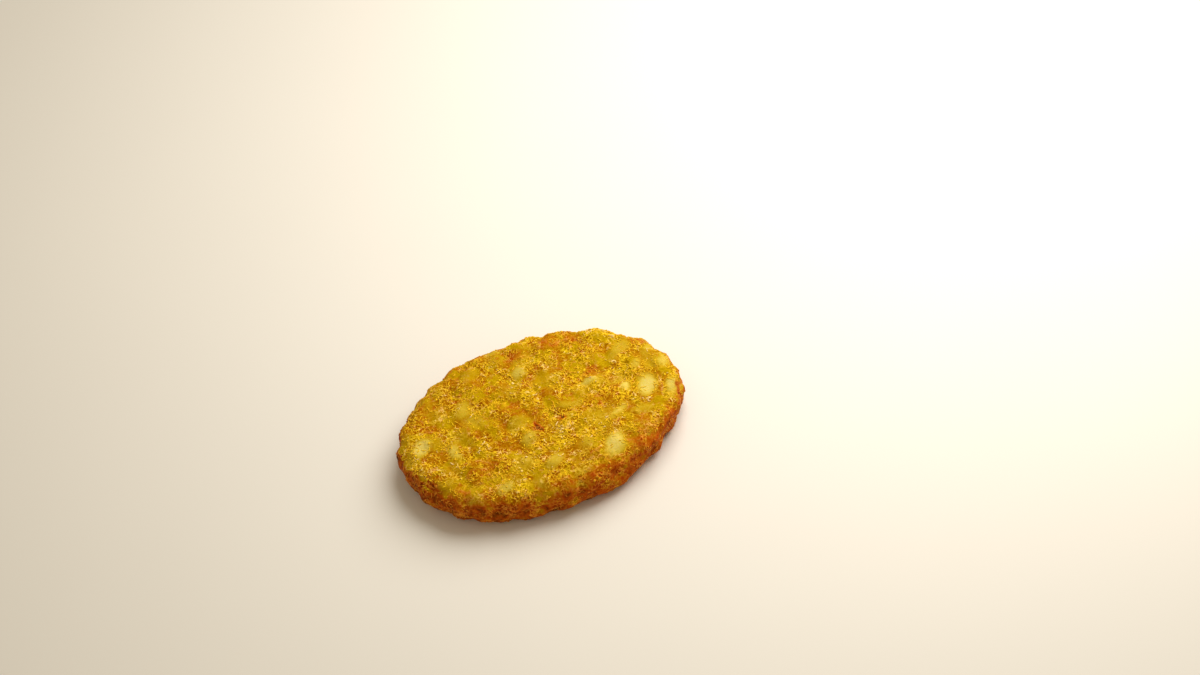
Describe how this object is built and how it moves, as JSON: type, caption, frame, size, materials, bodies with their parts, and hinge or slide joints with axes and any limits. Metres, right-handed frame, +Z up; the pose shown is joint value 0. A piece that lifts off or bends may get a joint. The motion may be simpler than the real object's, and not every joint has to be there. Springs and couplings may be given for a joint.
{
  "type": "hash brown",
  "caption": "Oval pressed hash brown patty with a lumpy golden crust, bare pale potato pieces and a browned rounded edge, lying flat on its underside.",
  "frame": {"origin": "middle of the patty's oval, on the plane that it rests on", "axes": "+X along the patty's length, +Y across its width, +Z up out of the shown face"},
  "size_m": [0.1, 0.071, 0.015],
  "materials": {
    "fried_crust": "golden fried potato crust, grainy and slightly oily, browned at the edge"
  },
  "bodies": {
    "root": {"hash_brown": "fried_crust"}
  },
  "joints": []
}
